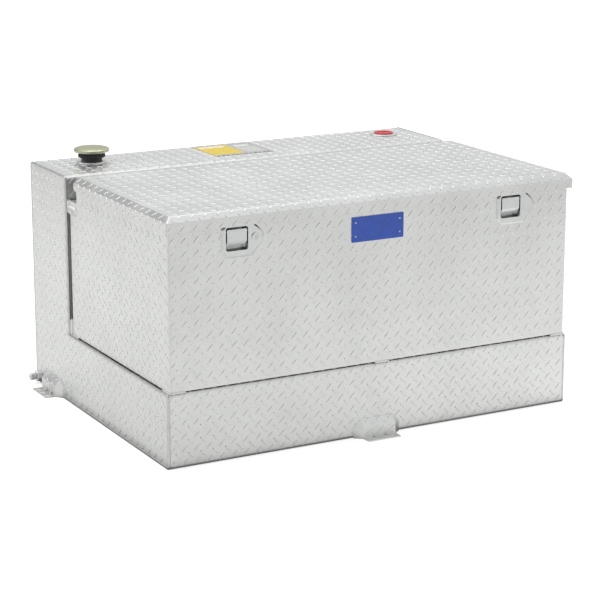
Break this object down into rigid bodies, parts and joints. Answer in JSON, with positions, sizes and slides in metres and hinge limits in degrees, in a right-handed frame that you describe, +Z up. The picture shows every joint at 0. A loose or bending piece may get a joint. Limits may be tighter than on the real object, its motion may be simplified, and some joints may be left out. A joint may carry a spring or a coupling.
{
  "type": "truck bed transfer tank with tool chest",
  "caption": "L-shaped tread-plate fuel transfer tank for a pickup bed, with a hinged-lid tool chest welded on its step, paddle latches, filler, pump port and drain.",
  "frame": {"origin": "centre of the tank's bottom face, on the truck bed", "axes": "+X to the object's right along its length, +Y to the cab side where the tank is tall, +Z up; the latches face -Y"},
  "size_m": [1.341, 0.975, 0.7068],
  "materials": {
    "tread_plate": "bright raised-lug tread plate",
    "plain_aluminium": "mill finish",
    "weld_bead": "rippled weld",
    "stainless": "polished stainless",
    "zinc_steel": "zinc plated",
    "gold_zinc": "yellow zinc plated",
    "black_plastic": "moulded",
    "black_paint": "satin",
    "red_plastic": "moulded",
    "rubber": "closed-cell strip",
    "foam": "rigid foam",
    "blue_plate": "gloss, bare of lettering",
    "label_film": "printed film in plain colour fields"
  },
  "bodies": {
    "tank": {"tank_shell": "tread_plate", "tank_end_left": "tread_plate", "tank_end_right": "tread_plate", "baffle_left": "plain_aluminium", "baffle_right": "plain_aluminium", "foot_front": "tread_plate", "foot_left": "tread_plate", "foot_right": "tread_plate", "filler_bung": "plain_aluminium", "filler_neck": "black_plastic", "pump_port_bung": "plain_aluminium", "drain_bung": "plain_aluminium", "chest_body": "tread_plate", "chest_seal": "rubber", "weld_front_left": "weld_bead", "weld_front_middle": "weld_bead", "weld_front_right": "weld_bead", "weld_side_left": "weld_bead", "weld_side_right": "weld_bead", "weld_wall_left": "weld_bead", "weld_wall_right": "weld_bead", "hinge_leaf_chest": "zinc_steel", "hinge_pin": "zinc_steel", "latch_left_dish": "stainless", "latch_left_pin": "zinc_steel", "latch_left_spring": "zinc_steel", "latch_right_dish": "stainless", "latch_right_pin": "zinc_steel", "latch_right_spring": "zinc_steel", "catch_left_pin": "zinc_steel", "catch_left_bracket": "zinc_steel", "catch_right_pin": "zinc_steel", "catch_right_bracket": "zinc_steel", "lock_body": "stainless", "strut_left_foot": "zinc_steel", "strut_right_foot": "zinc_steel", "name_plate": "blue_plate", "fill_label": "label_film"},
    "lid": {"lid_skin": "tread_plate", "lid_core": "foam", "lid_pan": "plain_aluminium", "hinge_leaf_lid": "zinc_steel", "striker_left": "zinc_steel", "striker_right": "zinc_steel", "strut_left_head": "zinc_steel", "strut_right_head": "zinc_steel"},
    "strut_left_cylinder": {"strut_left_tube": "black_paint"},
    "strut_left_piston": {"strut_left_rod": "stainless"},
    "strut_right_cylinder": {"strut_right_tube": "black_paint"},
    "strut_right_piston": {"strut_right_rod": "stainless"},
    "paddle_left": {"latch_left_paddle": "stainless"},
    "paddle_right": {"latch_right_paddle": "stainless"},
    "hook_left": {"catch_left": "zinc_steel"},
    "hook_right": {"catch_right": "zinc_steel"},
    "lock": {"lock_plug": "stainless", "lock_cam": "zinc_steel"},
    "cap_seal": {"filler_gasket": "rubber"},
    "cap": {"filler_cap": "gold_zinc"},
    "port_plug": {"pump_port_plug": "red_plastic"},
    "drain": {"drain_plug": "zinc_steel"}
  },
  "joints": [
    {"name": "lid_hinge", "type": "hinge", "parent": "tank", "child": "lid", "pos_m": [0, 0.1378, 0.6455], "axis": [-1, 0, 0], "range_deg": [0, 78]},
    {"name": "strut_left_swing", "type": "hinge", "parent": "tank", "child": "strut_left_cylinder", "pos_m": [-0.571, 0.1, 0.34], "axis": [-1, 0, 0], "range_deg": [0, 8.3]},
    {"name": "strut_left_slide", "type": "slide", "parent": "strut_left_cylinder", "child": "strut_left_piston", "axis": [0, -0.139, 0.9903], "range_m": [0, 0.0897]},
    {"name": "strut_right_swing", "type": "hinge", "parent": "tank", "child": "strut_right_cylinder", "pos_m": [0.571, 0.1, 0.34], "axis": [-1, 0, 0], "range_deg": [0, 8.3]},
    {"name": "strut_right_slide", "type": "slide", "parent": "strut_right_cylinder", "child": "strut_right_piston", "axis": [0, -0.139, 0.9903], "range_m": [0, 0.0897]},
    {"name": "paddle_left_pull", "type": "hinge", "parent": "tank", "child": "paddle_left", "pos_m": [-0.422, -0.461, 0.612], "axis": [-1, 0, 0], "range_deg": [0, 40], "stiffness_Nm_per_rad": 0.05, "springref_deg": -17.19},
    {"name": "paddle_right_pull", "type": "hinge", "parent": "tank", "child": "paddle_right", "pos_m": [0.422, -0.461, 0.612], "axis": [-1, 0, 0], "range_deg": [0, 40], "stiffness_Nm_per_rad": 0.05, "springref_deg": -17.19},
    {"name": "catch_left_swing", "type": "hinge", "parent": "tank", "child": "hook_left", "pos_m": [-0.422, -0.4115, 0.5905], "axis": [1, 0, 0], "range_deg": [0, 60]},
    {"name": "catch_right_swing", "type": "hinge", "parent": "tank", "child": "hook_right", "pos_m": [0.422, -0.4115, 0.5905], "axis": [1, 0, 0], "range_deg": [0, 60]},
    {"name": "lock_turn", "type": "hinge", "parent": "tank", "child": "lock", "pos_m": [-0.3686, -0.47, 0.5935], "axis": [0, 1, 0], "range_deg": [0, 90]},
    {"name": "filler_cap_turn", "type": "hinge", "parent": "tank", "child": "cap_seal", "pos_m": [-0.4695, 0.3695, 0.69], "axis": [0, 0, 1], "range_deg": [0, 90]},
    {"name": "filler_cap_lift", "type": "slide", "parent": "cap_seal", "child": "cap", "axis": [0, 0, 1], "range_m": [0, 0.04]},
    {"name": "pump_port_plug_turn", "type": "hinge", "parent": "tank", "child": "port_plug", "pos_m": [0.5135, 0.3695, 0.6643], "axis": [0, 0, 1], "continuous": true},
    {"name": "drain_plug_turn", "type": "hinge", "parent": "tank", "child": "drain", "pos_m": [-0.6225, 0.4315, 0.022], "axis": [-1, 0, 0], "continuous": true}
  ],
  "couplings": [
    {"joint": "strut_left_swing", "follows": "lid_hinge", "ratio": 0.10549},
    {"joint": "strut_left_slide", "follows": "lid_hinge", "m_per_rad": 0.06578},
    {"joint": "strut_right_swing", "follows": "lid_hinge", "ratio": 0.10549},
    {"joint": "strut_right_slide", "follows": "lid_hinge", "m_per_rad": 0.06578}
  ]
}
